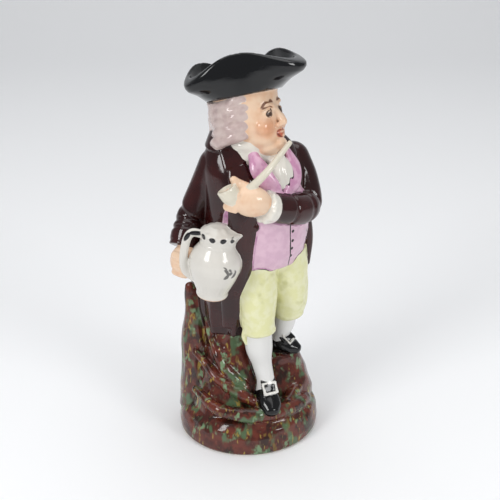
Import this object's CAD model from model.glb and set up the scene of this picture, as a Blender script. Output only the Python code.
import math

import bmesh
import bpy
import numpy as np
from mathutils import Euler, Matrix, Vector, noise
from mathutils.bvhtree import BVHTree


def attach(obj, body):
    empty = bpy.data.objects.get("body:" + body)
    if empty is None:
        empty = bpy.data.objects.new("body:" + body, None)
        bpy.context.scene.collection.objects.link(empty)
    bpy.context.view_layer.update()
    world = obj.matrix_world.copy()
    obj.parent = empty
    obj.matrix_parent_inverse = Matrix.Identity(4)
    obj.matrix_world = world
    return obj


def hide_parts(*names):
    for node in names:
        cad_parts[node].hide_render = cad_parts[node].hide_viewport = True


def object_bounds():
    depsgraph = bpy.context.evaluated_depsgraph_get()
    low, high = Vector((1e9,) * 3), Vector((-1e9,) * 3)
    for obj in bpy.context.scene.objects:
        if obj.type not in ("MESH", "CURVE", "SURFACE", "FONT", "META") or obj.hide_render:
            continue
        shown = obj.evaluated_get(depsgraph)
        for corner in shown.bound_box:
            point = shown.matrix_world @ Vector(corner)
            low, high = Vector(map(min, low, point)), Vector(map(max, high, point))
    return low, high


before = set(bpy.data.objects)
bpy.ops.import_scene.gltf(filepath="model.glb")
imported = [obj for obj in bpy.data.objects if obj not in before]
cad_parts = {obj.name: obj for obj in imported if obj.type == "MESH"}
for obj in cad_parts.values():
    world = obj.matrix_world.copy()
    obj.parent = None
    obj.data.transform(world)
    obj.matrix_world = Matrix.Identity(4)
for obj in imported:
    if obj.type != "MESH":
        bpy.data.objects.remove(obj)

cad_box = [list(corner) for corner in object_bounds()]

# The jug is modelled in millimetres about the man's own axis: his chest faces -Y, his left hand is at +X.
MM = 0.001
AXIS_RIGHT, AXIS_FRONT = 3.37, 2.37  # from the middle of the jug's box to the man's axis
low, high = (Vector(corner) for corner in cad_box)
AXIS = Vector(((low.x + high.x) / 2 + AXIS_RIGHT * MM, (low.y + high.y) / 2 - AXIS_FRONT * MM, low.z))
TO_ROW = Matrix.Translation(AXIS) @ Matrix.Scale(MM, 4)

VOXEL = 0.62  # grain of the joined clay
SOFTENING = 5  # passes that round the relief, as a glaze does
MOST_FACES = 192000

# Mound
BASE_RADIUS, BASE_OVAL, LEDGE = 51.5, 0.97, 27
FLOOR, RECESS, FOOT_RIM = 9, 2, 8

# Head and hat, in the head's frame: -Y is where the face looks
HEAD_AT = (-1, -4, 237)
HEAD_TURN, HEAD_TILT, HEAD_LEAN, HAT_LEAN = 30, 18, 4, 5
HAT_BAND, HAT_SEAT, FRONT_CORNER, BACK_CORNER = 25.5, 17, 48, 40
BRIM_RISE, BRIM_THICK, MOUTH = 26, 3.0, 18.5

# Small jug and handle
POT_AT, POT_TURN = (-38.4, -14.8, 122), (3, 6, -28)
POT_HEIGHT, POT_BELLY, POT_FOOT = 51, 17.8, 10
HANDLE_REACH, HANDLE_WIDTH, HANDLE_THICK = 51, 6.5, 3.6


def turn(x, y, z):
    return Euler((math.radians(x), math.radians(y), math.radians(z)), "XYZ").to_matrix().to_4x4()


def placed(at, x=0, y=0, z=0):
    return Matrix.Translation(at) @ turn(x, y, z)


INTO_HEAD = Matrix.Translation(HEAD_AT) @ turn(0, 0, HEAD_TURN) @ turn(-HEAD_TILT, HEAD_LEAN, 0)
INTO_HAT = INTO_HEAD @ Matrix.Translation((0, 1, HAT_SEAT)) @ turn(0, HAT_LEAN, 0)
INTO_POT = placed(POT_AT, *POT_TURN)
INTO_HANDLE = turn(0, 0, HEAD_TURN)

# ---------------------------------------------------------------- clay: closed forms, gathered by colour zone

clay = {}


def add(zone, part, into=None):
    """Puts a finished part into the clay of one colour zone."""
    if into is not None:
        part.transform(into)
    mesh = bpy.data.meshes.new("part")
    part.to_mesh(mesh)
    part.free()
    clay.setdefault(zone, bmesh.new()).from_mesh(mesh)
    bpy.data.meshes.remove(mesh)


def along_curve(points, share):
    """A smooth curve through the points (centripetal Catmull-Rom), at a share of the way along."""
    last = len(points) - 1
    place = min(max(share, 0.0), 1.0) * last
    k = min(int(place), last - 1)
    t = place - k
    p1, p2 = points[k], points[k + 1]
    p0 = points[k - 1] if k else 2 * p1 - p2
    p3 = points[k + 2] if k + 2 <= last else 2 * p2 - p1
    step = np.linalg.norm(p2 - p1) ** 0.5
    step = step if step > 1e-4 else 1.0
    before = np.linalg.norm(p1 - p0) ** 0.5
    before = before if before > 1e-4 else step
    after = np.linalg.norm(p3 - p2) ** 0.5
    after = after if after > 1e-4 else step
    m1 = ((p1 - p0) / before - (p2 - p0) / (before + step) + (p2 - p1) / step) * step
    m2 = ((p2 - p1) / step - (p3 - p1) / (step + after) + (p3 - p2) / after) * step
    return (
        (2 * t**3 - 3 * t**2 + 1) * p1
        + (t**3 - 2 * t**2 + t) * m1
        + (3 * t**2 - 2 * t**3) * p2
        + (t**3 - t**2) * m2
    )


def form(sections, sides=28, rings=28, level=False, ends=(1, 1), across=(1, 0, 0), shape=None):
    """A soft closed form through sections of (x, y, z, half width, half depth).

    Level sections lie flat, the others stand square to the curve. ends says how far each end domes out, and
    shape(point, out, angle, share) may move a point of the skin."""
    path = [np.array(s[:3], float) for s in sections]
    sizes = [np.array((s[3], s[-1]), float) for s in sections]
    caps = [7 if dome else 1 for dome in ends]
    total = caps[0] + rings + caps[1]
    across = Vector(across)
    courses = []
    for ring in range(total + 1):
        share = min(1.0, max(0.0, (ring - caps[0]) / rings))
        middle = Vector(along_curve(path, share))
        size = Vector((*along_curve(sizes, share), 0))
        near = max(0.0, share - 1e-3), min(1.0, share + 1e-3)
        tangent = Vector(along_curve(path, near[1]) - along_curve(path, near[0])).normalized()
        if level:
            tangent = Vector((0, 0, 1 if sections[-1][2] > sections[0][2] else -1))
        end = 0 if ring < caps[0] else 1 if ring > caps[0] + rings else None
        if end is not None:
            into = (ring if end == 0 else total - ring) / caps[end]
            dome = ends[end] * min(size.x, size.y) * math.cos(into * math.pi / 2)
            middle += tangent * (-dome if end == 0 else dome)
            size *= math.sin(into * math.pi / 2)
        wide = (across - tangent * across.dot(tangent)).normalized()
        courses.append((middle, size, wide, tangent.cross(wide), share))
    part = bmesh.new()
    bmesh.ops.create_uvsphere(part, u_segments=sides, v_segments=total, radius=1)
    for vert in part.verts:
        ring = round((1 - math.acos(max(-1, min(1, vert.co.z))) / math.pi) * total)
        angle = math.atan2(vert.co.y, vert.co.x) if 0 < ring < total else 0.0
        middle, size, wide, deep, share = courses[ring]
        out = wide * size.x * math.cos(angle) + deep * size.y * math.sin(angle)
        vert.co = middle + out
        if shape:
            vert.co = shape(vert.co, out.normalized() if out.length > 1e-6 else out, angle, share)
    return part


def ball(at, rx, ry=None, rz=None, detail=28):
    part = bmesh.new()
    bmesh.ops.create_uvsphere(part, u_segments=detail, v_segments=detail * 2 // 3, radius=1)
    bmesh.ops.scale(part, vec=(rx, ry or rx, rz or rx), verts=part.verts)
    bmesh.ops.translate(part, vec=at, verts=part.verts)
    return part


def turned(profile, steps=96):
    """A profile of (radius, height) pairs, closed on itself or on the axis, spun about Z."""
    part = bmesh.new()
    verts = [part.verts.new((r, 0, h)) for r, h in profile]
    edges = [part.edges.new(pair) for pair in zip(verts, verts[1:])]
    bmesh.ops.spin(
        part, geom=verts + edges, cent=(0, 0, 0), axis=(0, 0, 1), angle=math.tau, steps=steps, use_merge=True
    )
    bmesh.ops.remove_doubles(part, verts=part.verts, dist=1e-4)
    bmesh.ops.recalc_face_normals(part, faces=part.faces)
    return part


def rugged(height, size, stretch=1.0, seed=0.0):
    """A shape for rock and bark: lumps of a given size, drawn out up the stem by stretch."""

    def shape(point, out, angle, share):
        q = Vector((point.x / size + seed, point.y / size - seed, point.z / size / stretch))
        lump = noise.noise(q) + 0.45 * noise.noise(q * 2.3) - 0.25 * abs(noise.noise(q * 1.3))
        return point + out * height * lump

    return shape


# ---------------------------------------------------------------- the mound


def mound():
    foot = turned(
        [
            (0, 0),
            (BASE_RADIUS - 1.8, 0),
            (BASE_RADIUS - 0.4, 1.8),
            (BASE_RADIUS, 7),
            (BASE_RADIUS - 1, 13),
            (BASE_RADIUS - 3, 18),
            (BASE_RADIUS - 7, 22.5),
            (BASE_RADIUS - 15, LEDGE - 1.5),
            (BASE_RADIUS - 28, LEDGE - 0.3),
            (0, LEDGE),
        ]
    )
    bmesh.ops.scale(foot, vec=(1, BASE_OVAL, 1), verts=foot.verts)
    bmesh.ops.translate(foot, vec=(0.5, 3, 0), verts=foot.verts)
    bmesh.ops.subdivide_edges(foot, edges=foot.edges, cuts=2, use_grid_fill=True)
    for vert in foot.verts:
        out = Vector((vert.co.x, vert.co.y, 0)).normalized()
        rise = min(1.0, max(0.0, (vert.co.z - 9) / 8))
        q = Vector((vert.co.x / 19, vert.co.y / 19, vert.co.z / 11))
        vert.co += out * 1.3 * rise * (noise.noise(q) + 0.5 * noise.noise(q * 2.2))
    add("rock", foot)

    bark = rugged(1.7, 9, stretch=3.2, seed=4)
    stump = [(-24.8, 19, 17, 21), (-27.8, 21.8, 40, 16), (-30.3, 24.5, 66, 11)]
    stump += [(-31.1, 26.1, 92, 8), (-33.8, 26.5, 110, 3.5)]
    add("rock", form(stump, 56, 60, ends=(0, 0.8), shape=bark))
    core = [(1, 20, 15, 32, 28), (-2, 19, 45, 28, 25), (-4, 18.5, 80, 25, 24), (-1, 16, 105, 20, 20)]
    add("rock", form(core, 72, 60, level=True, ends=(0, 0.4), shape=rugged(2.2, 15, stretch=1.8, seed=2)))
    apron = [(-17, 0, 15, 30, 30), (-15, 2, 35, 24, 24), (-13, 6, 60, 18, 19), (-12, 9, 82, 14, 15)]
    add("rock", form(apron, 72, 60, level=True, ends=(0, 0), shape=rugged(2.0, 13, stretch=1.7, seed=7)))
    step = [(23, 1, 12, 28, 27), (25, -1, 30, 23, 22), (25, -2, 54, 13, 13)]
    add("rock", form(step, 64, 48, level=True, ends=(0, 0.3), shape=rugged(1.6, 14, stretch=1.2, seed=9)))

    # Ledges that wind round the front, and a knot where a branch was
    ledges = [
        [
            (-43, 4, 38, 3),
            (-38, -19, 33, 4.5),
            (-18, -34, 29, 5.5),
            (8, -35, 26, 5.5),
            (30, -26, 22, 5),
            (42, -10, 18, 3),
        ],
        [(-37, 14, 62, 2.5), (-31, -8, 50, 4), (-19, -21, 40, 5), (-9, -28, 32, 4)],
        [(40, 4, 34, 2.5), (35, -12, 33, 4), (22, -24, 29, 5), (10, -31, 26, 3)],
        [(-29, 12, 88, 2), (-28, 3, 72, 3.4), (-25, -9, 56, 4), (-15, -19, 44, 3.4)],
    ]
    for n, ledge in enumerate(ledges):
        add("rock", form(ledge, 20, 60, shape=rugged(0.8, 7, seed=n)))
    knot = turned([(3.4 + 1.7 * math.cos(a), 1.7 * math.sin(a)) for a in np.linspace(0, math.tau, 13)], 32)
    add("rock", knot, placed((-25.5, -0.5, 68), 90, 0, -62))


# ---------------------------------------------------------------- clothes


def flat_front(least):
    def shape(point, out, angle, share):
        point.y = max(point.y, least)
        return point

    return shape


def coat():
    def pleats(point, out, angle, share):
        fall = 0.052 * (1 - share) * math.cos(9 * angle) + 0.012 * (1 - share) * math.cos(23 * angle + 1)
        point.x += (point.x - 1) * fall
        point.y += (point.y - 8) * fall
        if share < 0.75:
            point.y = max(point.y, -9)
        return point

    tails = [(-4, 11, 81, 25, 22), (-3, 11, 95, 28.5, 24.5), (1, 8, 120, 34, 28), (5, 2, 148, 38, 31)]
    tails.append((5, 0, 176, 36, 30))
    add("coat", form(tails, 144, 64, level=True, ends=(0.12, 0), shape=pleats))
    body = [(5, 1, 168, 37, 30.5), (5, 2, 190, 37, 29), (4, 3, 203, 36, 26), (1, 5, 213, 31, 22)]
    body += [(-2, 6, 222, 24, 18), (-4, 6, 229, 18.5, 15.5)]
    add("coat", form(body, 96, 40, level=True, ends=(0, 0), shape=flat_front(-19)))

    # Turned-down collar, lapels with their notch, and the left front that hangs open
    collar = [(-3.5, 5.5, 231, 19.5, 17), (-2.5, 5.5, 226, 23.5, 19.5), (-0.5, 5, 218.5, 29, 22.5)]
    add("coat", form(collar, 72, 20, level=True, ends=(0.06, 0.05), shape=flat_front(-13)))
    lapels = [
        ([(-21, 4, 228, 4, 2.4), (-19.5, -8, 220, 8, 2.4), (-18.5, -15, 212, 9.5, 2.4)], (1, -0.4, 0)),
        ([(-19, -14, 212, 6, 2.4), (-18, -20, 203, 9, 2.4), (-17, -26, 186, 4, 2)], (1, -0.4, 0)),
        ([(18, 2, 226, 4, 2.6), (23, -9, 217, 7, 2.6), (25, -13, 210, 8, 2.4)], (1, 0.6, 0)),
        ([(25.5, -12, 210, 6, 2.4), (27, -17, 200, 7, 2.4), (28, -20, 188, 4, 2)], (1, 0.6, 0)),
    ]
    for sections, across in lapels:
        add("coat", form(sections, 28, 28, ends=(0.4, 0.5), across=across))
    front = [(34, -6, 178, 6, 9), (39, -10, 150, 4.5, 7.5), (39, -8, 127, 4, 7)]
    add("coat", form(front, 28, 36, ends=(0, 0.5)))
    panel = [(-19, -24, 196, 10, 4), (-20, -25, 172, 10, 5), (-21, -22.5, 150, 10, 5)]
    panel += [(-22, -16, 122, 9, 4), (-20, -9, 90, 7, 3)]
    add("coat", form(panel, 32, 36, ends=(0.4, 0.3), across=(1, -0.45, 0)))
    edge = [(-17.5, -25, 186, 2.6), (-18.5, -23.5, 168, 2.6), (-18.5, -21.5, 150, 2.6), (-18, -18, 128, 2.4)]
    edge += [(-17.5, -13.5, 106, 2.4), (-19.5, -10.5, 84, 2.2)]
    add("coat", form(edge, 20, 60))
    button = turned([(0, -1.5), (3.1, -1.5), (3.4, 0), (2.9, 1.0), (2.0, 0.7), (1.2, 1.2), (0, 1.4)], 36)
    add("coat", button, placed((-14.4, -30.2, 172.5), 78, 0, -22))


def sleeves():
    def creases(where, depth):
        def shape(point, out, angle, share):
            fold = 0.0
            for at, width, lean in where:
                fold += math.exp(-(((share - at + lean * math.sin(angle)) / width) ** 2))
            return point - out * depth * fold

        return shape

    right = [(-21, 10, 205, 11.5), (-27, 14, 188, 11), (-35.5, 16, 170, 10.5), (-42.6, 14, 158, 10)]
    right.append((-47, 10.5, 150, 9.5))
    folds = creases([(0.62, 0.03, 0.06), (0.72, 0.022, 0.05), (0.5, 0.03, -0.05), (0.93, 0.012, 0.0)], 1.3)
    add("coat", form(right, 48, 72, ends=(1, 0), shape=folds))
    web = [(-24, 13, 188, 9, 8), (-31, 14, 165, 9, 7), (-35, 14, 145, 9, 6), (-31, 14, 120, 8, 6)]
    add("coat", form(web, 24, 30, ends=(0, 0.5)))
    left = [(33, -1, 203, 12), (36, -8, 190, 11.5), (34, -18, 177, 11), (24, -28, 177.5, 11)]
    left += [(9, -34, 182, 10.5), (-6, -36.5, 187, 10)]
    folds = creases([(0.42, 0.02, 0.05), (0.5, 0.02, -0.05), (0.58, 0.018, 0.03), (0.8, 0.012, 0.0)], 1.2)
    add("coat", form(left, 48, 96, ends=(1, 0), across=(0, 0, 1), shape=folds))

    def scallops(point, out, angle, share):
        return point + out * 0.7 * math.sin(11 * angle) * share

    ruffle = [(-5, -36.5, 186.6, 10.2), (-8.6, -37.1, 188, 10.7), (-10.4, -37.4, 188.8, 10.9)]
    add("linen", form(ruffle, 66, 12, ends=(0, 0.2), across=(0, 0, 1), shape=scallops))


def waistcoat():
    body = [(5, -4, 137, 29, 25.5), (5, -4, 146, 33, 29), (5, -4, 160, 35, 31), (5, -4, 178, 34, 30.5)]
    body += [(4, -2, 195, 31, 27), (3, 0, 210, 24, 20), (2, 1, 219, 17, 15)]
    add("waistcoat", form(body, 96, 60, level=True, ends=(0.1, 0)))
    # Its own small turned-back lapels
    right = [(-9, -19, 219, 3, 2.2), (-8, -27, 210, 6.5, 2.4), (-2, -32, 199, 6, 2.4), (4, -34, 192, 2.5, 2)]
    add("lapel", form(right, 28, 36, ends=(0.5, 0.6), across=(1, -0.3, 0.5)))
    left = [(18, -17, 217, 3, 2.2), (20, -24, 208, 6.5, 2.4), (17, -29, 199, 7, 2.4), (8, -33, 193, 3, 2)]
    add("lapel", form(left, 28, 36, ends=(0.5, 0.6), across=(1, 0.3, -0.5)))


def neckcloth():
    def wraps(point, out, angle, share):
        return point + out * 0.55 * math.sin(share * 13 + 1.2 * math.sin(angle))

    stock = [(0, -4, 212, 18.5, 17.5), (-1.5, -3, 221, 18.5, 18.5), (-3, -1, 230, 17, 17)]
    add("linen", form(stock, 72, 40, level=True, ends=(0.2, 0), shape=wraps))

    def ripples(point, out, angle, share):
        wave = math.sin(point.x * 1.25 + 2.5 * math.sin(share * 3))
        return point + Vector((0, -0.5 * wave * (0.3 + share), 0))

    frill = [(7, -22, 214, 6.5, 5), (8, -27, 205, 9, 5), (8, -30, 197, 6.5, 3)]
    add("linen", form(frill, 48, 40, ends=(0.5, 0.5), shape=ripples))


def legs():
    def wrinkles(seed, depth):
        def shape(point, out, angle, share):
            q = Vector((point.x / 9 + seed, point.y / 9, point.z / 14))
            return point + out * depth * noise.noise(q)

        return shape

    right = [(-3, -12, 140, 16), (-5, -18, 118, 14), (-5.5, -20, 100, 12.5), (-4.7, -21, 88, 11)]
    add("breeches", form(right, 48, 40, ends=(0, 0.2), shape=wrinkles(1, 1.1)))
    left = [(20, -10, 140, 17), (22.5, -12, 122, 15.5), (24, -13, 105, 14), (24.5, -12, 90, 10.5)]
    add("breeches", form(left, 48, 40, ends=(0, 0.2), shape=wrinkles(5, 1.1)))
    add("breeches", ball((9, -9, 141), 27, 19, 13, 48))
    for at, size in (((-4.7, -21, 89.5), 10.9), ((24.5, -12, 91.5), 10.6)):
        band = turned([(size + 1.0 * math.cos(a), 1.5 * math.sin(a)) for a in np.linspace(0, math.tau, 13)], 48)
        add("breeches", band, placed(at))
    tie = [(-15.5, -19, 91, 1.3), (-16.6, -20, 86, 1.7), (-15.6, -21, 80, 0.9)]
    add("breeches", form(tie, 12, 16))

    right = [(-4.7, -20.5, 90, 9.5), (-4.6, -20.5, 76, 9.8), (-3, -22, 62, 7.2), (-1.4, -24.5, 49, 6.4)]
    right.append((-1.6, -25, 38, 7))
    add("stocking", form(right, 40, 48, ends=(0, 0)))
    left = [(24, -11, 92, 8), (23, -9, 80, 7.6), (21.5, -7, 71, 5.6), (20.5, -5.5, 63, 5.6)]
    add("stocking", form(left, 40, 40, ends=(0, 0)))

    right = [(-0.5, -21, 37, 7, 7.5), (-2.5, -29, 37.5, 8, 8), (-4.5, -37, 34.5, 8, 6)]
    right.append((-6, -41.5, 32.5, 5.5, 4.2))
    add("shoe", form(right, 36, 40, ends=(0.6, 0.7)))
    left = [(18, -2, 62, 6.5, 7), (22, -7, 63.5, 7, 7.5), (28, -12.5, 61.5, 6.8, 5.5)]
    left.append((31, -15.5, 60, 4.2, 3.8))
    add("shoe", form(left, 36, 40, ends=(0.6, 0.7)))
    tongues = [
        [(-1.2, -27.5, 51, 5.6, 1.6), (-2.4, -31.5, 46.5, 6.4, 1.8), (-3.2, -34.5, 41.5, 5.5, 1.5)],
        [(21.5, -10, 73, 4.6, 1.6), (24.2, -12.4, 70, 5, 1.6), (27, -14.4, 66.5, 4.6, 1.5)],
    ]
    for tongue in tongues:
        add("shoe", form(tongue, 24, 20, ends=(0.5, 0.5)))
    for at, tilt, face in (((-2.6, -33.2, 46.2), 52, -8), ((24.6, -13.6, 70.8), 42, 40)):
        bars = [(0, side * 3.7, 5.5, 0.65) for side in (1, -1)]
        bars += [(side * 4.9, 0, 0.65, 4.2) for side in (1, -1)]
        for x, z, long, tall in bars:
            bar = bmesh.new()
            bmesh.ops.create_cube(bar, size=2)
            bmesh.ops.scale(bar, vec=(long, 0.75, tall), verts=bar.verts)
            bmesh.ops.translate(bar, vec=(x, 0, z), verts=bar.verts)
            add("buckle", bar, placed(at, -(90 - tilt), 0, face))


# ---------------------------------------------------------------- hands, pipe, small jug, handle


def finger_set(size):
    for n in range(4):
        z = size * (0.66 - 0.44 * n)
        sections = [(size * 0.7, -size * 0.3, z, size * 0.3), (0, -size * 0.9, z, size * 0.32)]
        sections.append((-size * 0.7, -size * 0.4, z, size * 0.28))
        yield form(sections, 20, 24, ends=(0.5, 1), across=(0, 0, 1))


def hands():
    right = placed((-48.5, 5, 142), 0, 0, -25)
    add("flesh", ball((0, 0, 0), 10, 9.5, 11.5), right)
    for finger in finger_set(9.5):
        add("flesh", finger, right)
    left = placed((-20, -36.5, 194.5), 0, 12, -22)
    add("flesh", ball((0, 0, 0), 13, 9, 10.5, 36), left)
    add("flesh", form([(-3, 2, 7, 4.2), (-10, 3, 9.5, 3.2), (-14, 2, 12, 2.6)], 20, 20), left)
    for finger in finger_set(7.5):
        add("flesh", finger, left @ placed((-9, 1, -1), 0, 0, -70))


def pipe():
    bowl = [(-31.6, -34, 195, 4), (-33.4, -32.6, 199.5, 6.4), (-35.6, -31, 204.5, 6.6)]
    add("pipe", form(bowl, 36, 24, ends=(0.8, 0)))
    stem = [(-22, -37, 203, 2.9), (-10.2, -38.5, 213, 2.5), (12, -31.5, 227.5, 1.7)]
    add("pipe", form(stem, 20, 60, ends=(0, 0.5)))


def pipe_bore():
    return form([(-34.2, -32, 201, 4.2), (-36.6, -30.2, 207, 5.3)], 32, 12, ends=(0.5, 0))


def small_jug():
    profile = [
        (0, 0), (POT_FOOT, 0), (POT_FOOT + 0.9, 1.2), (POT_FOOT + 0.9, 2.6), (POT_FOOT + 0.5, 3.4), (12.8, 9),
        (14.9, 13.5), (16.4, 18), (POT_BELLY - 0.3, 22), (POT_BELLY, 25.5), (17.2, 29.5), (15.6, 33.5),
        (13.2, 36.8),
        (11.5, 39.5), (11.1, 42), (11.5, 45), (12.4, 48), (11.6, 49), (9.5, 49.6), (6, POT_HEIGHT + 1.2),
        (0, POT_HEIGHT + 2),
    ]  # fmt: skip
    body = turned(profile)
    bmesh.ops.subdivide_edges(body, edges=body.edges, cuts=1, use_grid_fill=True)
    for vert in body.verts:
        x, y, z = vert.co
        angle = math.atan2(y, x)
        low_down = math.exp(-(((z - 7.5) / 4.5) ** 2))
        flute = 1 + 0.022 * low_down * math.cos(30 * angle)
        brim = (z - 38) / 10 if 38 < z < 50 else 0
        lip = 4.5 * brim * max(0, x / 12) ** 3
        vert.co = (x * flute + lip, y * flute * (1 - 0.05 * lip), z)
        if z > 48.8:
            vert.co.z += 0.8 * noise.noise(Vector((x, y, 0)) / 3.2)
    add("pot", body, INTO_POT)
    ring = turned([(11.4 + 0.6 * math.cos(a), 40.4 + 0.6 * math.sin(a)) for a in np.linspace(0, math.tau, 9)])
    add("pot", ring, INTO_POT)
    grip = [(-9, 0, 45, 2.3, 3), (-17, 0, 46, 2.3, 3), (-20, 0, 42, 2.3, 3), (-20, 0, 18, 2.2, 2.8)]
    grip.append((-12, 0, 11, 2.2, 2.6))
    add("pot", form(grip, 24, 60, ends=(0, 0), across=(0, 1, 0)), INTO_POT)


def handle():
    strap = [(22, 207, 4.2), (36, 196, HANDLE_THICK), (44, 181, HANDLE_THICK)]
    strap += [(HANDLE_REACH - 1, 165, HANDLE_THICK), (HANDLE_REACH, 142, HANDLE_THICK)]
    strap += [(46, 120, HANDLE_THICK), (39, 101, HANDLE_THICK), (32, 84, 4.6)]
    sections = [(0, y, z, HANDLE_WIDTH, thick) for y, z, thick in strap]
    add("handle", form(sections, 32, 80, ends=(0, 0)), INTO_HANDLE)
    spine = [(0, y + thick - 0.6, z, 2.0, 1.6) for y, z, thick in strap[1:-1]]
    add("handle", form(spine, 20, 60, ends=(1, 1)), INTO_HANDLE)
    tail = [(0, 34, 90, 5.5, 4), (0, 44, 83, 5, 3.2), (0, 51, 86, 4.4, 2.6), (0, 52.5, 96, 3, 1.8)]
    add("handle", form(tail, 28, 40, ends=(0, 0.8)), INTO_HANDLE)


# ---------------------------------------------------------------- head and hat


def head():
    skull = [(0, -1, -15, 13, 13), (0, 0, -5, 18.5, 19), (0, 0.5, 7, 20, 20.5), (0, 0.5, 18, 21.5, 22)]
    add("flesh", form(skull, 56, 40, level=True, ends=(0.6, 0)), INTO_HEAD)
    for at, radii in (
        ((0, -8, -10.5), (15, 12, 11.5)),  # jaw
        ((0, -9, -19), (11, 9, 6)),  # soft under-chin
        ((0, -17.3, -18.3), (5.6, 4, 4)),  # chin
        ((0, -16.6, -11), (6.8, 4.2, 5)),  # mouth's mound
        ((-8.6, -13.2, -4.6), (7.4, 6, 7.4)),  # cheeks
        ((8.6, -13.2, -4.6), (7.4, 6, 7.4)),
        ((-7.4, -16.4, 2.4), (3.7, 2.9, 2.8)),  # eyes
        ((7.4, -16.4, 2.4), (3.7, 2.9, 2.8)),
        ((-2.7, -20.4, -5.9), (1.9, 2.2, 1.7)),  # nostrils
        ((2.7, -20.4, -5.9), (1.9, 2.2, 1.7)),
    ):
        add("flesh", ball(at, *radii, 32), INTO_HEAD)
    nose = [(0, -18.6, 7, 1.8, 1.6), (0, -21.4, 0, 2.1, 2.2), (0, -23.2, -4.6, 2.6, 2.6), (0, -22, -6.4, 2.8, 1.8)]
    add("flesh", form(nose, 24, 24, ends=(0.5, 0.7)), INTO_HEAD)
    for side in (1, -1):
        brow = [(side * 2.6, -19.2, 7.2, 1.9), (side * 7, -18.6, 8.6, 2.0), (side * 12.5, -15.4, 7, 1.5)]
        add("flesh", form(brow, 20, 20, ends=(0.8, 0.8)), INTO_HEAD)
        for rise, thick in ((1.9, 0.9), (-1.7, 0.7)):
            lid = [(side * 4.2, -18.6, 2.4, 0.5), (side * 7.4, -19.1, 2.4 + rise, thick)]
            lid.append((side * 10.9, -17.0, 2.0, 0.5))
            add("flesh", form(lid, 16, 20), INTO_HEAD)
    lips = [
        [(-5.2, -18.6, -11.6, 0.5), (-1.6, -20.7, -10.7, 1.1), (0, -20.6, -11, 1.0), (1.6, -20.7, -10.7, 1.1)],
        [(-4.4, -18.8, -12.4, 0.5), (0, -20.5, -13.3, 1.4), (4.4, -18.8, -12.4, 0.5)],
    ]
    lips[0].append((5.2, -18.6, -11.6, 0.5))
    for lip in lips:
        add("flesh", form(lip, 16, 28), INTO_HEAD)


def wig():
    def strands(point, out, angle, share):
        q = Vector((point.x / 7, point.y / 7, point.z / 3.2))
        return point + out * 0.8 * noise.noise(q)

    add("wig", form([(0, 8, -6, 20, 17), (0, 8, 4, 22.3, 20.4), (0, 7, 17, 21, 20)], 64, 40, level=True,
                    ends=(0.6, 0), shape=strands), INTO_HEAD)  # fmt: skip
    queue = [(0, 22, 4, 13, 9), (0, 25, -8, 10, 7), (0, 24, -18, 7, 5.5)]
    add("wig", form(queue, 40, 32, ends=(0.8, 0.6), shape=strands), INTO_HEAD)

    def twist(point, out, angle, share):
        return point + out * 0.35 * math.cos(3 * angle + 9 * share)

    # Rows of rolls at each side: waves above, and one long roll below the ear
    rows = [(15.5, 3.0, -9.5, 1.0), (10.5, 3.4, -8, -0.6), (4.8, 3.8, -6.2, 0.8)]
    rows += [(-1.2, 4.0, -4.2, -0.6), (-7.2, 4.4, -1.5, 0.4)]
    for side in (1, -1):
        for z, r, y, sway in rows:
            lock = [
                (side * 16.6, y, z + 0.6, r * 0.8),
                (side * 19.6, y + 5.5, z + sway, r),
                (side * 20.8, y + 12, z - sway, r),
                (side * 19.2, y + 19, z - 1.5, r * 0.95),
                (side * 13, y + 25, z - 2.5, r * 0.8),
            ]
            add("wig", form(lock, 24, 44, shape=twist), INTO_HEAD)


def hat():
    felt = turned(
        [
            (HAT_BAND - 5, 0),
            (HAT_BAND, 0),
            (HAT_BAND + 1.6, 2.4),
            (HAT_BAND + 3.5, 6),
            (HAT_BAND + 5.6, 10),
            (HAT_BAND + 7, 14),
            (HAT_BAND + 7.9, 20),
            (HAT_BAND + 8, BRIM_RISE - 1.2),
            (HAT_BAND + 7.2, BRIM_RISE + 0.2),
            (HAT_BAND + 8 - BRIM_THICK + 0.6, BRIM_RISE + 0.2),
            (HAT_BAND + 8 - BRIM_THICK, BRIM_RISE - 1.2),
            (HAT_BAND + 4.6, 20),
            (HAT_BAND + 3.4, 15),
            (HAT_BAND - 1, 8),
            (MOUTH + 1, 5.4),
            (MOUTH - 2, 5),
            (MOUTH - 2, 0),
            (HAT_BAND - 5, 0),
        ],
        144,
    )
    for vert in felt.verts:
        x, y, z = vert.co
        radius = math.hypot(x, y)
        angle = math.atan2(x, -y)
        out = max(0.0, (radius - HAT_BAND) / 8)
        corner = (0.5 + 0.5 * math.cos(3 * angle)) ** 1.4
        point = FRONT_CORNER if abs(angle) < math.pi / 3 else BACK_CORNER
        reach = radius + out * (corner * (point - HAT_BAND - 8) - (1 - corner) * 3)
        vert.co = (x / radius * reach, y / radius * reach, z - z * out * corner * 0.5)
    add("hat", felt, INTO_HAT)


# ---------------------------------------------------------------- the hollow vessel


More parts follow.
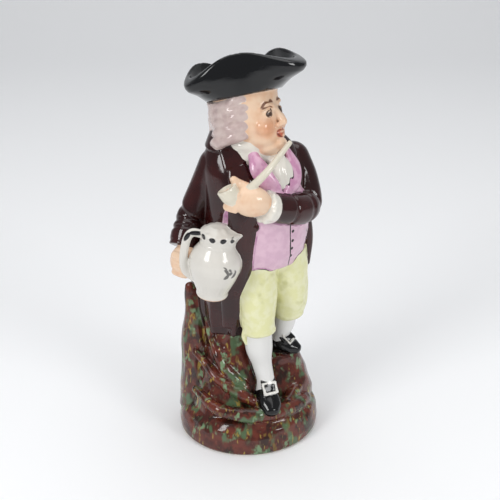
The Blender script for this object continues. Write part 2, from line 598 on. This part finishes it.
def hollow():
    """The space inside: from the floor through rock, body and neck, and out between the sides of the hat."""
    level = {"level": True, "ends": (0, 0)}
    space = bmesh.new()
    parts = [
        form([(0.5, 3, FLOOR, 41, 39), (0.5, 3, 19, 39, 37)], 40, 4, **level),
        form([(-17, 1, 18, 24, 24), (-15, 3, 35, 18.5, 18.5), (-13, 7, 62, 12, 13)], 32, 12, **level),
        form([(22, 2, 18, 22, 21), (24, 0, 32, 16, 15), (25, -2, 48, 7, 7)], 32, 12, **level),
    ]
    trunk = [(2, 17, 18, 23, 21), (1, 16.5, 50, 20, 18), (-1, 15, 85, 19, 17), (0, 9, 118, 28, 21)]
    trunk += [(4, 0, 146, 30, 24), (4, -1, 175, 29, 24), (3, 1, 198, 26, 19), (0, 0, 212, 17, 16)]
    trunk += [(-1.2, -2.5, 224, 14, 14.5), (-1.5, -4, 231, 14, 14.5)]
    parts.append(form(trunk, 48, 60, **level))
    skull = [(0, 1, -12, 14, 13.5), (0, 1.5, 2, 15.5, 16), (0, 1, HAT_SEAT - 1, MOUTH, MOUTH)]
    skull.append((0, 1, HAT_SEAT + 16, MOUTH + 0.6, MOUTH + 0.6))
    top = form(skull, 64, 30, **level)
    top.transform(INTO_HEAD)
    parts.append(top)
    for part in parts:
        mesh = bpy.data.meshes.new("space")
        part.to_mesh(mesh)
        part.free()
        space.from_mesh(mesh)
        bpy.data.meshes.remove(mesh)
    return space


def as_object(name, shape, keep=False):
    mesh = bpy.data.meshes.new(name)
    shape.to_mesh(mesh)
    if not keep:
        shape.free()
    made = bpy.data.objects.new(name, mesh)
    bpy.context.scene.collection.objects.link(made)
    return made


def settle(made):
    """Applies an object's modifiers, and returns it with its final mesh."""
    bpy.context.view_layer.update()
    graph = bpy.context.evaluated_depsgraph_get()
    mesh = bpy.data.meshes.new_from_object(made.evaluated_get(graph))
    made.modifiers.clear()
    old = made.data
    made.data = mesh
    bpy.data.meshes.remove(old)
    return made


def cut(made, tool):
    boolean = made.modifiers.new("cut", "BOOLEAN")
    boolean.operation = "DIFFERENCE"
    boolean.solver = "MANIFOLD"
    boolean.object = tool
    settle(made)
    bpy.data.objects.remove(tool)


def thrown_together():
    """Joins all the clay into one body, softens it, and cuts the hollow, foot recess and pipe bore."""
    whole = bmesh.new()
    for part in clay.values():
        mesh = bpy.data.meshes.new("zone")
        part.to_mesh(mesh)
        whole.from_mesh(mesh)
        bpy.data.meshes.remove(mesh)
    jug = as_object("toby_jug_glazed", whole)
    remesh = jug.modifiers.new("join", "REMESH")
    remesh.mode = "VOXEL"
    remesh.voxel_size = VOXEL
    soften = jug.modifiers.new("soften", "SMOOTH")
    soften.factor = 0.5
    soften.iterations = SOFTENING
    settle(jug)
    space = as_object("space", inside, keep=True)
    merge = space.modifiers.new("join", "REMESH")
    merge.mode = "VOXEL"
    merge.voxel_size = 1.0
    soften = space.modifiers.new("soften", "SMOOTH")
    soften.factor = 0.5
    soften.iterations = 6
    settle(space)
    cut(jug, space)
    recess = turned([(0, -1), (BASE_RADIUS - FOOT_RIM, -1), (BASE_RADIUS - FOOT_RIM, RECESS), (0, RECESS)], 96)
    bmesh.ops.scale(recess, vec=(1, BASE_OVAL, 1), verts=recess.verts)
    bmesh.ops.translate(recess, vec=(0.5, 3, 0), verts=recess.verts)
    cut(jug, as_object("recess", recess))
    cut(jug, as_object("bore", pipe_bore()))
    thin = jug.modifiers.new("thin", "DECIMATE")
    jug.data.calc_loop_triangles()
    thin.ratio = min(1.0, MOST_FACES / len(jug.data.loop_triangles))
    settle(jug)
    return jug


# ---------------------------------------------------------------- zones: how far each point is inside its colour

REACH = 5.0  # how far, in mm, the borders between zones are followed


def mark_zones(jug):
    """Stores one value per zone and vertex: above zero inside the zone, zero on its border, falling off outside."""
    spots = [vert.co for vert in jug.data.vertices]
    tools = dict(clay, inside=inside)
    away = {}
    for zone, part in tools.items():
        tree = BVHTree.FromBMesh(part)
        found = (tree.find_nearest(spot, REACH) for spot in spots)
        away[zone] = np.array([REACH if hit[3] is None else hit[3] for hit in found])
    stack = np.array(list(away.values()))
    order = np.sort(stack, axis=0)
    for row, zone in enumerate(away):
        nearest_other = np.where(stack[row] <= order[0], order[1], order[0])
        values = (nearest_other - stack[row]).astype(np.float32)
        layer = jug.data.attributes.new(zone, "FLOAT", "POINT")
        layer.data.foreach_set("value", values)


# ---------------------------------------------------------------- glaze paint


class Painter:
    """Builds one glaze: colours laid one over another, each where its mask is one. Places are in mm."""

    def __init__(self, name, ground):
        self.material = bpy.data.materials.new(name)
        self.material.use_nodes = True
        self.tree = self.material.node_tree
        self.shader = self.tree.nodes["Principled BSDF"]
        place = self.node("ShaderNodeTexCoord").outputs["Object"]
        self.place = self.mapping(place, AXIS, (0, 0, 0), (MM, MM, MM))
        self.colour = self.as_colour(ground)

    def node(self, kind, **settings):
        made = self.tree.nodes.new(kind)
        for key, value in settings.items():
            setattr(made, key, value)
        return made

    def feed(self, made, **inputs):
        for key, value in inputs.items():
            socket = made.inputs[int(key[1:])] if key[1:].isdigit() else made.inputs[key.replace("_", " ")]
            if isinstance(value, bpy.types.NodeSocket):
                self.tree.links.new(value, socket)
            else:
                socket.default_value = value
        return made

    def mapping(self, vector, at, turned_by, size):
        made = self.node("ShaderNodeMapping", vector_type="TEXTURE")
        self.feed(made, Vector=vector, Location=at, Rotation=turned_by, Scale=size)
        return made.outputs[0]

    def math(self, operation, a, b=0.0, c=0.0):
        made = self.node("ShaderNodeMath", operation=operation)
        return self.feed(made, i0=a, i1=b, i2=c).outputs[0]

    def ramp(self, value, start, end, low=0.0, high=1.0):
        made = self.node("ShaderNodeMapRange", interpolation_type="SMOOTHSTEP")
        self.feed(made, i0=value, i1=start, i2=end, i3=low, i4=high)
        return made.outputs[0]

    def noise(self, size, detail=2.0, stretch=(1, 1, 1), rough=0.5, seed=0.0):
        vector = self.mapping(self.place, (seed, seed, 0), (0, 0, 0), stretch)
        made = self.node("ShaderNodeTexNoise")
        self.feed(made, Vector=vector, Scale=1 / size, Detail=detail, Roughness=rough)
        return made.outputs[0]

    def as_colour(self, hexed):
        if not isinstance(hexed, str):
            return hexed
        parts = [int(hexed[k : k + 2], 16) / 255 for k in (0, 2, 4)]
        parts = [p / 12.92 if p <= 0.04045 else ((p + 0.055) / 1.055) ** 2.4 for p in parts]
        return (*parts, 1.0)

    def blend(self, a, b, share):
        made = self.node("ShaderNodeMix", data_type="RGBA")
        self.feed(made, i0=share, i6=self.as_colour(a), i7=self.as_colour(b))
        return made.outputs[2]

    def lay(self, colour, mask):
        self.colour = self.blend(self.colour, colour, mask)

    def zone(self, name):
        return self.node("ShaderNodeAttribute", attribute_name=name).outputs["Fac"]

    def within(self, name, edge=0.0, soft=0.14):
        """Inside a zone; edge moves the border out, and the brush wavers a little along it."""
        waver = self.math("MULTIPLY_ADD", self.noise(3.5), 0.5, -0.25 + edge)
        value = self.math("ADD", self.zone(name), waver)
        return self.ramp(value, -soft, soft)

    def border(self, name, width, shift=0.0):
        """A brush line that follows a zone's border, just inside it."""
        waver = self.math("MULTIPLY", self.noise(6, seed=3), 0.9)
        off = self.math("ABSOLUTE", self.math("SUBTRACT", self.zone(name), shift))
        return self.ramp(self.math("ADD", off, waver), width + 0.45, width + 0.25)

    def both(self, a, b):
        return self.math("MULTIPLY", a, b)

    def either(self, *masks):
        result = masks[0]
        for mask in masks[1:]:
            result = self.math("MAXIMUM", result, mask)
        return result

    def spot(self, into, at, size, soft=0.15, turned_by=(0, 0, 0)):
        """An ellipsoid of paint, at a place in the frame of one part."""
        frame_at = into @ placed(at, *turned_by)
        where, rotation, _ = frame_at.decompose()
        vector = self.mapping(self.place, where, rotation.to_euler("XYZ"), size)
        made = self.node("ShaderNodeVectorMath", operation="LENGTH")
        self.feed(made, i0=vector)
        return self.ramp(made.outputs["Value"], 1 + soft, 1 - soft)

    def stroke(self, into, points, width, deep=3.0):
        """A brush stroke through the points: overlapping ellipsoids, deep enough to meet the surface."""
        marks = []
        for a, b in zip(points, points[1:]):
            a, b = Vector(a), Vector(b)
            run = b - a
            angle = run.to_track_quat("X", "Y").to_euler("XYZ")
            degrees = [math.degrees(v) for v in angle]
            size = (run.length * 0.62, deep, width)
            marks.append(self.spot(into, (a + b) / 2, size, 0.2, degrees))
        return self.either(*marks)


def sponged_rock(glaze):
    """Maroon dabbed with green, ochre and dark olive, each drawn down a little as the glaze ran."""
    ground = glaze.blend("4a211b", "6a3226", glaze.ramp(glaze.noise(8, 3), 0.35, 0.65))
    for colour, size, stretch, start, seed in (
        ("2b1c16", 9.0, (1, 1, 1.7), 0.52, 11),
        ("7d6330", 8.0, (0.8, 0.8, 2.0), 0.60, 23),
        ("54704f", 13.0, (1, 1, 1.6), 0.54, 37),
        ("7c9a74", 7.0, (1, 1, 1.5), 0.58, 53),
        ("a98f43", 6.0, (0.6, 0.6, 2.2), 0.6, 71),
        ("7d3b2e", 5.0, (0.7, 0.7, 1.4), 0.62, 89),
    ):
        dab = glaze.ramp(glaze.noise(size, 2.5, stretch, 0.6, seed), start, start + 0.1)
        ground = glaze.blend(ground, colour, glaze.math("MULTIPLY", dab, 0.85))
    return ground


def painted_glaze():
    glaze = Painter("painted_glaze", "e9e4da")
    whole = Matrix.Identity(4)
    broad = glaze.noise(22, 2)
    fine = glaze.noise(5, 3, seed=5)

    glaze.lay(sponged_rock(glaze), glaze.within("rock", 0.2))
    glaze.lay(glaze.blend("2a1512", "3a2018", broad), glaze.within("handle"))

    # Dress
    coat = glaze.blend("2a0d0d", "3a1413", glaze.ramp(broad, 0.35, 0.65))
    glaze.lay(coat, glaze.within("coat", 0.15))
    cloth = glaze.blend("d8b2c6", "e2bfd0", glaze.ramp(fine, 0.35, 0.65))
    glaze.lay(cloth, glaze.within("waistcoat"))
    glaze.lay(glaze.blend("deb0c9", "cd94b5", glaze.ramp(fine, 0.4, 0.62)), glaze.within("lapel"))
    glaze.lay("b0719b", glaze.both(glaze.border("waistcoat", 0.5, 0.6), glaze.ramp(fine, 0.3, 0.7)))
    yellow = glaze.blend("e6e5ae", "ecebc2", glaze.ramp(fine, 0.35, 0.65))
    yellow = glaze.blend(yellow, "d2d198", glaze.ramp(glaze.noise(9, 2, seed=9), 0.55, 0.8))
    glaze.lay(yellow, glaze.within("breeches"))
    glaze.lay("e6e5e2", glaze.within("stocking"))
    glaze.lay("0c0c0e", glaze.within("shoe"))
    glaze.lay("e4e2dc", glaze.within("buckle"))
    glaze.lay("e6e2d8", glaze.within("linen"))

    # Flesh, with a little warmth in the hollows
    flesh = glaze.blend("efcfb2", "e8bd9b", glaze.ramp(glaze.noise(9, 2, seed=2), 0.4, 0.7))
    glaze.lay(flesh, glaze.within("flesh"))
    glaze.lay(glaze.blend("c2aca8", "d0bdb7", glaze.ramp(fine, 0.35, 0.65)), glaze.within("wig"))
    glaze.lay(glaze.blend("08090b", "101114", broad), glaze.within("hat"))
    glaze.lay("dedad2", glaze.within("pot"))
    glaze.lay("dfd8c6", glaze.within("pipe"))

    # Face
    skin = glaze.within("flesh")
    for side in (1, -1):
        rouge = glaze.spot(INTO_HEAD, (side * 10.5, -17, -6), (6.5, 8, 5.5), 0.75)
        glaze.lay("dc9468", glaze.math("MULTIPLY", glaze.both(rouge, skin), 0.75))
        brow = [(side * 2.8, -20, 7.6), (side * 7, -20, 9.6), (side * 12.4, -17, 8)]
        glaze.lay("7d5540", glaze.both(glaze.stroke(INTO_HEAD, brow, 0.5), skin))
        glaze.lay("e9e6e0", glaze.both(glaze.spot(INTO_HEAD, (side * 7.4, -19, 2.4), (3.0, 3, 1.35)), skin))
        glaze.lay("6b5a4e", glaze.spot(INTO_HEAD, (side * 7.2, -19.4, 2.5), (1.35, 3, 1.3)))
        glaze.lay("15110f", glaze.spot(INTO_HEAD, (side * 7.2, -19.4, 2.5), (0.7, 3, 0.7)))
        lid = [(side * 4.4, -19, 2.6), (side * 7.2, -19.6, 3.9), (side * 10.6, -18, 2.6)]
        glaze.lay("4d372c", glaze.stroke(INTO_HEAD, lid, 0.32))
    lips = glaze.stroke(INTO_HEAD, [(-4.8, -19.5, -11.8), (0, -21, -11.7), (4.8, -19.5, -11.8)], 1.0)
    glaze.lay("c26a50", glaze.both(lips, skin))
    glaze.lay("7a3a2c", glaze.stroke(INTO_HEAD, [(-4.6, -19.6, -11.9), (0, -21.2, -12), (4.6, -19.6, -11.9)], 0.3))

    # Black lines and dots of the waistcoat
    dress = glaze.either(glaze.within("waistcoat", 0.3), glaze.within("lapel", 0.3))
    front = [(8, -36, 190), (10, -37, 176), (10.5, -36, 160), (12.5, -33, 146), (13, -31, 136)]
    lines = [glaze.stroke(whole, front, 0.42, 8)]
    lines.append(glaze.both(glaze.border("waistcoat", 0.25), glaze.spot(whole, (5, -20, 137), (45, 40, 9))))
    lines.append(glaze.both(glaze.border("lapel", 0.25), glaze.spot(whole, (5, -30, 195), (45, 40, 12))))
    for z in (171, 165, 158, 152, 146):
        lines.append(glaze.spot(whole, (13.6, -34, z), (1.15, 8, 1.15)))
        lines.append(glaze.spot(whole, (30, -26, z + 1), (0.7, 9, 1.3)))
    lines.append(glaze.spot(whole, (8, -37, 188), (1.5, 8, 1.5)))
    glaze.lay("14100f", glaze.both(glaze.either(*lines), dress))

    # Brushwork on the small jug, and its pink foot rim
    pot = glaze.within("pot", 0.3)
    grip = [(-22, -2, 41), (-19, -2, 46.5), (-10.5, -2, 47)]
    marks = [glaze.stroke(INTO_POT, grip, 1.3, 1.6)]
    rim = [(12.2 * math.cos(a), 12.2 * math.sin(a), 46.5) for a in np.linspace(-2.7, -0.2, 9)]
    for k in (0, 2, 4, 6):
        marks.append(glaze.stroke(INTO_POT, rim[k : k + 2], 0.75, 2.5))
    scrawl = [
        [(6, -16, 34), (9, -15.5, 29), (7, -16, 25), (10, -15, 20)],
        [(10, -14.5, 31), (12, -13.5, 27), (9, -15.5, 23)],
        [(11.5, -13, 26), (13.5, -11.5, 21), (10.5, -14, 17)],
    ]
    for mark in scrawl:
        marks.append(glaze.math("MULTIPLY", glaze.stroke(INTO_POT, mark, 0.28, 3), 0.8))
    glaze.lay("17161a", glaze.both(glaze.either(*marks), pot))
    glaze.lay("dcb99f", glaze.both(glaze.spot(INTO_POT, (0, 0, 0.4), (14, 14, 1.3), 0.25), pot))
    glaze.lay("c08a63", glaze.spot(whole, (-35, -31.4, 202.4), (3.6, 3.6, 3.6), 0.3))

    # The inside is plain white glaze, and the ring it stands on is bare clay
    glaze.lay("e4dfd4", glaze.within("inside", 0.6))
    glaze.lay("cdbfa9", glaze.spot(whole, (0, 0, -1), (90, 90, 2.0), 0.1))

    shader = glaze.shader
    glaze.tree.links.new(glaze.colour, shader.inputs["Base Color"])
    shader.inputs["Roughness"].default_value = 0.1
    ripple = glaze.node("ShaderNodeBump")
    glaze.feed(ripple, Strength=0.12, Distance=0.0006, Height=glaze.noise(6, 3, seed=21))
    glaze.tree.links.new(ripple.outputs["Normal"], shader.inputs["Normal"])
    return glaze.material


# ---------------------------------------------------------------- making the jug

mound()
coat()
sleeves()
waistcoat()
neckcloth()
legs()
hands()
pipe()
small_jug()
handle()
head()
wig()
hat()
inside = hollow()

jug = thrown_together()
mark_zones(jug)
jug.data.transform(TO_ROW)
for polygon in jug.data.polygons:
    polygon.use_smooth = True
jug.data.materials.clear()
jug.data.materials.append(painted_glaze())
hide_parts("toby_jug")
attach(jug, "root")

# ---------------------------------------------------------------- stage, lights, camera


def plain(name, colour, roughness):
    material = bpy.data.materials.new(name)
    material.use_nodes = True
    shader = material.node_tree.nodes["Principled BSDF"]
    shader.inputs["Base Color"].default_value = (*colour, 1)
    shader.inputs["Roughness"].default_value = roughness
    return material


def sweep():
    """A pale paper sweep: flat under the jug, curving up far behind it, as seen from the camera."""
    part = bmesh.new()
    wide = 2.4
    profile = [(-1.6, 0.0), (1.0, 0.0)]
    profile += [(1.0 + 0.6 * math.sin(a), 0.6 - 0.6 * math.cos(a)) for a in np.linspace(0.1, math.pi / 2, 12)]
    profile.append((1.6, 2.4))
    rows = [[part.verts.new((x, y, z)) for x in (-wide, wide)] for y, z in profile]
    for a, b in zip(rows, rows[1:]):
        part.faces.new((a[0], a[1], b[1], b[0]))
    part.transform(turn(0, 0, VIEW_TURN) @ Matrix.Translation((0, 0, low.z)))
    paper = as_object("paper_sweep", part)
    for polygon in paper.data.polygons:
        polygon.use_smooth = True
    paper.data.materials.append(plain("paper", (0.95, 0.955, 0.965), 0.8))


def lamp(name, at, size, power, aim):
    light = bpy.data.lights.new(name, "AREA")
    light.shape = "RECTANGLE"
    light.size, light.size_y = size
    light.energy = power
    made = bpy.data.objects.new(name, light)
    made.location = at
    made.rotation_euler = (aim - Vector(at)).to_track_quat("-Z", "Y").to_euler()
    bpy.context.scene.collection.objects.link(made)


VIEW_TURN, VIEW_RISE, VIEW_FAR, LENS = -30, 25, 0.775, 79.9
middle = AXIS + Vector((0, 0, 0.1405))
a, e = math.radians(VIEW_TURN), math.radians(VIEW_RISE)
toward = Vector((math.sin(a) * math.cos(e), -math.cos(a) * math.cos(e), math.sin(e)))

sweep()
lamp("left_softbox", turn(0, 0, VIEW_TURN) @ Vector((-0.75, -0.75, 0.75)), (0.42, 0.42), 5.5, middle)
lamp("right_softbox", turn(0, 0, VIEW_TURN) @ Vector((0.8, -0.7, 0.6)), (0.36, 0.36), 3.5, middle)
lamp("top_softbox", turn(0, 0, VIEW_TURN) @ Vector((0, 0.1, 1.3)), (1.5, 1.5), 10, middle)

world = bpy.data.worlds.new("bright_room")
bpy.context.scene.world = world
world.use_nodes = True
world.node_tree.nodes["Background"].inputs["Color"].default_value = (0.95, 0.97, 1.0, 1)
world.node_tree.nodes["Background"].inputs["Strength"].default_value = 0.3
bpy.context.scene.view_settings.view_transform = "Standard"

camera = bpy.data.objects.new("camera", bpy.data.cameras.new("camera"))
camera.data.lens = LENS
camera.data.sensor_width = 36
camera.data.clip_start = 0.05
camera.location = middle + toward * VIEW_FAR
camera.rotation_euler = (-toward).to_track_quat("-Z", "Y").to_euler()
bpy.context.scene.collection.objects.link(camera)
bpy.context.scene.camera = camera
